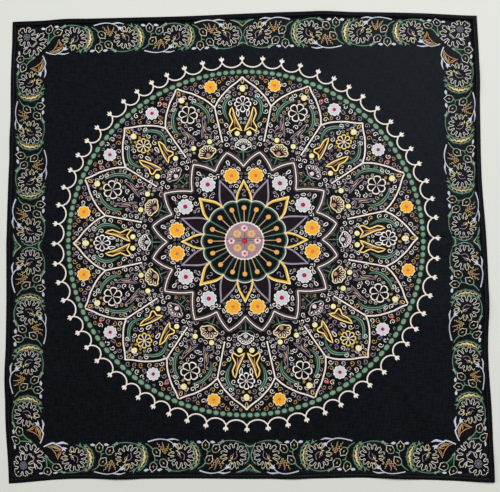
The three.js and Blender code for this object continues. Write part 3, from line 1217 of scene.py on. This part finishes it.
def addPrint(shell, corners, kept):
    # The wedge and its mirrored twin, turned to all four sides.
    for a, b, c, d in ((1, 0, 0, 1), (0, 1, -1, 0), (-1, 0, 0, -1), (0, -1, 1, 0)):
        for mirror in (1, -1):
            for tri, dye in kept:
                flat = [corners[i] for i in (tri if mirror > 0 else tri[::-1])]
                spots = [(a * x * mirror + b * y, c * x * mirror + d * y, cloth["thick"]) for x, y in flat]
                scroll = None
                if isinstance(dye, int):
                    scroll = scrollSpots(cells[dye], flat, mirror)
                    dye = cells[dye]["dye"]
                shell.face(spots, dye, [topUv(x, y) for x, y, _ in spots], scroll)


corners, kept = cutWedge()
print("stage: wedge cut", len(corners), len(kept))
seam, half = cloth["hemStart"], cloth["side"] / 2
panelShell = Shell()
addPrint(panelShell, corners, kept)
addRings(panelShell, [(half - cloth["printEnd"], cloth["thick"]), (seam, 0.38), (seam, 0.0)], "ground")
addUnderside(panelShell, seam, 14)
panel = panelShell.make("printed_panel")
hemProfile = [
    (seam, 0.0), (seam, 0.38), (3.6, 0.5), (3.1, 0.7), (2.5, 0.82), (1.5, 0.86), (0.7, 0.8), (0.2, 0.62),
    (0, 0.38), (0.15, 0.12), (0.7, 0.0), (seam, 0.0),
]
hemShell = Shell()
addRings(hemShell, hemProfile, "hem")
hem = hemShell.make("turned_hem")
print("stage: cloth made", len(panel.data.polygons), len(hem.data.polygons))


class Wiring:
    # Adds shader nodes to one material. A value is set on the new node's input, and a socket is linked.
    def __init__(self, tree):
        self.tree = tree

    def add(self, kind, values=(), out=0, **settings):
        made = self.tree.nodes.new("ShaderNode" + kind)
        for name, value in settings.items():
            setattr(made, name, value)
        for key, value in values.items() if isinstance(values, dict) else enumerate(values):
            self.feed(made.inputs[key], value)
        return made.outputs[out]

    def feed(self, socket, value):
        if isinstance(value, bpy.types.NodeSocket):
            self.tree.links.new(value, socket)
        else:
            socket.default_value = value

    def calc(self, kind, *values):
        return self.add("Math", values, operation=kind)

    def scaled(self, vector, share):
        return self.add("VectorMath", {0: vector, "Scale": share}, operation="SCALE")

    def split(self, vector):
        made = self.add("SeparateXYZ", (vector,)).node
        return made.outputs["X"], made.outputs["Y"]


def scrollInk(wires, dyeColour):
    # Draws one winding scroll in each cell, in the cell's own dye, from the cell's flat coordinates.
    calc = wires.calc
    wholeX, wholeY = wires.split(wires.add("UVMap", uv_map="scroll"))
    # From 2 to 8 the cell holds an S: two half-size hooks, the lower one turned half round.
    paired = calc("MULTIPLY", calc("GREATER_THAN", wholeX, 2), calc("LESS_THAN", wholeX, 8))
    single = calc("SUBTRACT", 1, paired)
    flip = calc("SUBTRACT", calc("MULTIPLY", calc("GREATER_THAN", wholeY, 0), 2), 1)
    halfX = calc("MULTIPLY", calc("MULTIPLY", calc("SUBTRACT", wholeX, 4), 2), flip)
    halfY = calc("SUBTRACT", calc("MULTIPLY", calc("MULTIPLY", wholeY, 2), flip), 1)
    x, y = (calc("ADD", calc("MULTIPLY", paired, hook), calc("MULTIPLY", single, whole))
            for hook, whole in ((halfY, wholeX), (halfX, wholeY)))
    # The line winds in as it turns, and ends in a ball.
    far = calc("SQRT", calc("ADD", calc("MULTIPLY", x, x), calc("MULTIPLY", y, y)))
    turn = calc("ADD", calc("DIVIDE", calc("ARCTAN2", y, x), math.tau), 0.5)
    line = calc("ADD", calc("MULTIPLY", turn, 0.74), 0.26)
    off = calc("ABSOLUTE", calc("SUBTRACT", far, line))
    wide = calc("ADD", calc("MULTIPLY", turn, -0.03), calc("ADD", calc("MULTIPLY", paired, 0.07), 0.125))
    started = calc("GREATER_THAN", turn, calc("MULTIPLY", paired, 0.32))
    onLine = calc("MULTIPLY", calc("LESS_THAN", off, wide), started)
    ballX, ballY = calc("ADD", x, 0.24), calc("ADD", y, 0.06)
    ballFar = calc("ADD", calc("MULTIPLY", ballX, ballX), calc("MULTIPLY", ballY, ballY))
    ball = calc("LESS_THAN", ballFar, 0.035)
    ink = calc("MAXIMUM", onLine, calc("MULTIPLY", ball, single))
    shown = calc("MAXIMUM", ink, calc("GREATER_THAN", wholeX, 8))
    colours = {"Factor": shown, "A": inks["night"], "B": dyeColour}
    return wires.add("Mix", colours, "Result", data_type="RGBA")


# Painted shade along the pressed creases, where their bottoms lie in shadow: the axis they run along, their
# place and half width across it, the middle and half length along it, and how much darker they make the
# colour.
creaseShade = (
    ("x", 0.0048, 0.00045, 0, 0.044, 0.66), ("y", 0.0022, 0.00045, 0, 0.021, 0.3),
    ("x", 0.0046, 0.0009, 0.222, 0.038, 0.5), ("y", 0.0028, 0.0008, 0.228, 0.026, 0.45),
    ("x", 0.0046, 0.0006, -0.232, 0.026, 0.35),
)


def paintCreaseShade(wires, spots, colour):
    # Paints shade into the sharp bottoms of the pressed creases, over the middle of the cloth and near its
    # edges.
    x, y = wires.split(spots)
    for axis, at, wide, middle, seen, tone in creaseShade:
        along, across = (x, y) if axis == "x" else (y, x)
        near = wires.calc("COMPARE", across, at, wide)
        both = wires.calc("MULTIPLY", near, wires.calc("COMPARE", along, middle, seen))
        share = wires.add("MapRange", {"Value": both, "To Min": 1.0, "To Max": 1 - tone})
        colour = wires.scaled(colour, share)
    return colour


def plainMaterial(name, colour, roughness):
    mat = bpy.data.materials.new(name)
    mat.use_nodes = True
    shader = mat.node_tree.nodes["Principled BSDF"]
    shader.inputs["Base Color"].default_value = colour
    shader.inputs["Roughness"].default_value = roughness
    return mat


# The cloth's finish. Slubs are long, thin, uneven threads both ways.
finish = {
    "roughness": 0.52, "tint": (0.68, 0.82, 1.0, 1.0), "gloss": 0.062, "sheen": 0.02, "sheenRoughness": 0.5,
    "slubs": ((110, 640, 1), (640, 110, 1)), "slubDepth": 0.12, "slubRange": (0.7, 1.3),
    "bare": (0.0036, 0.0044, 0.0062), "bareRange": (0.8, 1.25), "bump": 0.25, "bumpHeight": 0.0003,
}


def clothMaterial(name, weave, printed):
    mat = plainMaterial(name, inks["ground"], finish["roughness"])
    wires = Wiring(mat.node_tree)
    shader = mat.node_tree.nodes["Principled BSDF"]
    shader.inputs["Specular Tint"].default_value = finish["tint"]
    shader.inputs["Sheen Weight"].default_value = finish["sheen"]
    shader.inputs["Sheen Roughness"].default_value = finish["sheenRoughness"]
    shader.inputs["Specular IOR Level"].default_value = finish["gloss"]
    spots = wires.add("TexCoord", out="Object")
    slubs = []
    for scale in finish["slubs"]:
        stretched = wires.add("Mapping", {"Vector": spots, "Scale": scale})
        slubs.append(wires.add("TexNoise", {"Vector": stretched, "Scale": 1.0, "Detail": 2.0}, "Fac"))
    total = wires.calc("ADD", *slubs)
    depth = finish["slubDepth"] * weave
    low, high = finish["slubRange"]
    shares = {"Value": total, "From Min": low, "From Max": high, "To Min": 1 - depth, "To Max": 1 + depth}
    colour = wires.add("Attribute", out="Color", attribute_name="dye")
    if printed:
        colour = scrollInk(wires, colour)
    colour = wires.scaled(colour, wires.add("MapRange", shares))
    # Painted shade along the crease bottoms darkens the print's colour.
    if printed:
        colour = paintCreaseShade(wires, spots, colour)
    # The threads themselves stay a little pale where they lie thick.
    low, high = finish["bareRange"]
    pale = wires.add("MapRange", {"Value": total, "From Min": low, "From Max": high, "To Max": weave})
    bare = wires.scaled(finish["bare"], pale)
    wires.feed(shader.inputs["Base Color"], wires.add("VectorMath", (colour, bare)))
    bump = {"Strength": finish["bump"], "Distance": finish["bumpHeight"], "Height": total}
    wires.feed(shader.inputs["Normal"], wires.add("Bump", bump))
    return mat


panel.data.materials.append(clothMaterial("printed_cotton", 1.0, True))
hem.data.materials.append(clothMaterial("turned_hem", 0.4, False))
threadMaterial = plainMaterial("black_thread", linear("#101115"), 0.6)
print("stage: materials")


# Stitches: one short rod repeated along the hem's inner side. Inset and height are in millimetres, and the
# other sizes in metres.
stitches = {
    "inset": 3.75, "height": 0.52, "pitch": 0.0031, "length": 0.0023, "radius": 0.00019, "sides": 6,
}


def stitchPath():
    points = [laidPoint(x, y, stitches["height"]) for x, y in edgeLoop(stitches["inset"])]
    mesh = bpy.data.meshes.new("hem_stitches")
    mesh.from_pydata(points, [(i, (i + 1) % len(points)) for i in range(len(points))], [])
    return linked("hem_stitches", mesh)


def stitchNodes():
    group = bpy.data.node_groups.new("stitch_row", "GeometryNodeTree")
    face = group.interface
    face.new_socket("Geometry", in_out="INPUT", socket_type="NodeSocketGeometry")
    for label in ("Pitch", "Length", "Radius"):
        face.new_socket(label, in_out="INPUT", socket_type="NodeSocketFloat")
    face.new_socket("Material", in_out="INPUT", socket_type="NodeSocketMaterial")
    face.new_socket("Geometry", in_out="OUTPUT", socket_type="NodeSocketGeometry")
    new = group.nodes.new
    start, end = new("NodeGroupInput"), new("NodeGroupOutput")
    toCurve = new("GeometryNodeMeshToCurve")
    resample = new("GeometryNodeResampleCurve")
    resample.mode = "LENGTH"
    thread = new("GeometryNodeMeshCylinder")
    thread.fill_type = "TRIANGLE_FAN"
    thread.inputs["Vertices"].default_value = stitches["sides"]
    spread = new("GeometryNodeInstanceOnPoints")
    tangent = new("GeometryNodeInputTangent")
    aim = new("FunctionNodeAlignRotationToVector")
    realize = new("GeometryNodeRealizeInstances")
    paint = new("GeometryNodeSetMaterial")
    for source, given, target, taken in (
        (start, "Geometry", toCurve, "Mesh"), (toCurve, "Curve", resample, "Curve"),
        (start, "Pitch", resample, "Length"), (start, "Length", thread, "Depth"),
        (start, "Radius", thread, "Radius"), (resample, "Curve", spread, "Points"),
        (thread, "Mesh", spread, "Instance"), (tangent, "Tangent", aim, "Vector"),
        (aim, "Rotation", spread, "Rotation"), (spread, "Instances", realize, "Geometry"),
        (realize, "Geometry", paint, "Geometry"), (start, "Material", paint, "Material"),
        (paint, "Geometry", end, "Geometry"),
    ):
        group.links.new(source.outputs[given], target.inputs[taken])
    return group


thread = stitchPath()
row = thread.modifiers.new("stitches", "NODES")
row.node_group = stitchNodes()
sockets = {s.name: s.identifier for s in row.node_group.interface.items_tree if s.in_out == "INPUT"}
for label in ("Pitch", "Length", "Radius"):
    row[sockets[label]] = stitches[label.lower()]
row[sockets["Material"]] = threadMaterial
graph = bpy.context.evaluated_depsgraph_get()
sewn = bpy.data.meshes.new_from_object(thread.evaluated_get(graph))
thread.modifiers.clear()
thread.data = sewn
print("stage: stitches", len(sewn.polygons))

for piece, slotName in ((panel, "printed_cotton"), (hem, "turned_hem"), (thread, "turned_hem")):
    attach(piece, "root")
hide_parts("cloth_panel")
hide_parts("hem_front", "hem_right", "hem_back", "hem_left")

# Floor, light and camera.
wide, below = 3, -0.0002
floorMesh = bpy.data.meshes.new("floor")
floorCorners = [(-wide, -wide, below), (wide, -wide, below), (wide, wide, below), (-wide, wide, below)]
floorMesh.from_pydata(floorCorners, [], [(0, 1, 2, 3)])
floor = linked("floor", floorMesh)
floorMesh.materials.append(plainMaterial("pale_floor", linear("#d6d7d2"), 0.9))

lights = {
    "key": {"at": (0.9, 1.15, 2.4), "size": 1.3, "power": 71, "colour": (1.0, 1.0, 0.985)},
    "fill": {"at": (-1.7, 0.3, 1.2), "size": 1.2, "power": 11, "colour": (0.97, 0.98, 1.0)},
}
for name, spec in lights.items():
    lamp = bpy.data.lights.new(name, "AREA")
    lamp.size = spec["size"]
    lamp.energy = spec["power"]
    lamp.color = spec["colour"]
    holder = linked(name, lamp)
    holder.location = spec["at"]
    holder.rotation_euler = (-Vector(spec["at"])).to_track_quat("-Z", "Y").to_euler()
world = bpy.data.worlds.new("studio")
world.use_nodes = True
world.node_tree.nodes["Background"].inputs["Color"].default_value = (1, 1, 1, 1)
world.node_tree.nodes["Background"].inputs["Strength"].default_value = 0.2
bpy.context.scene.world = world
bpy.context.scene.view_settings.view_transform = "Standard"

shot = {
    "azimuth": 25.84, "elevation": 86.35, "roll": -26.66, "distance": 0.7, "target": (0.0063, -0.003, 0),
    "lens": 46.4, "sensor": 36, "seenTo": 20,
}
azimuth, elevation, roll = (math.radians(shot[k]) for k in ("azimuth", "elevation", "roll"))
level = math.cos(elevation)
backward = Vector((math.sin(azimuth) * level, -math.cos(azimuth) * level, math.sin(elevation)))
side = Vector((math.cos(azimuth), math.sin(azimuth), 0))
above = side.cross(-backward)
rightward = side * math.cos(roll) + above * math.sin(roll)
upward = above * math.cos(roll) - side * math.sin(roll)
camera = linked("camera", bpy.data.cameras.new("camera"))
camera.data.lens = shot["lens"]
camera.data.sensor_width = shot["sensor"]
camera.data.clip_end = shot["seenTo"]
camera.rotation_mode = "QUATERNION"
turned = [[rightward[i], upward[i], backward[i]] for i in range(3)]
camera.rotation_quaternion = Matrix(turned).to_quaternion()
camera.location = Vector(shot["target"]) + backward * shot["distance"]
bpy.context.scene.camera = camera

print("stage: done")
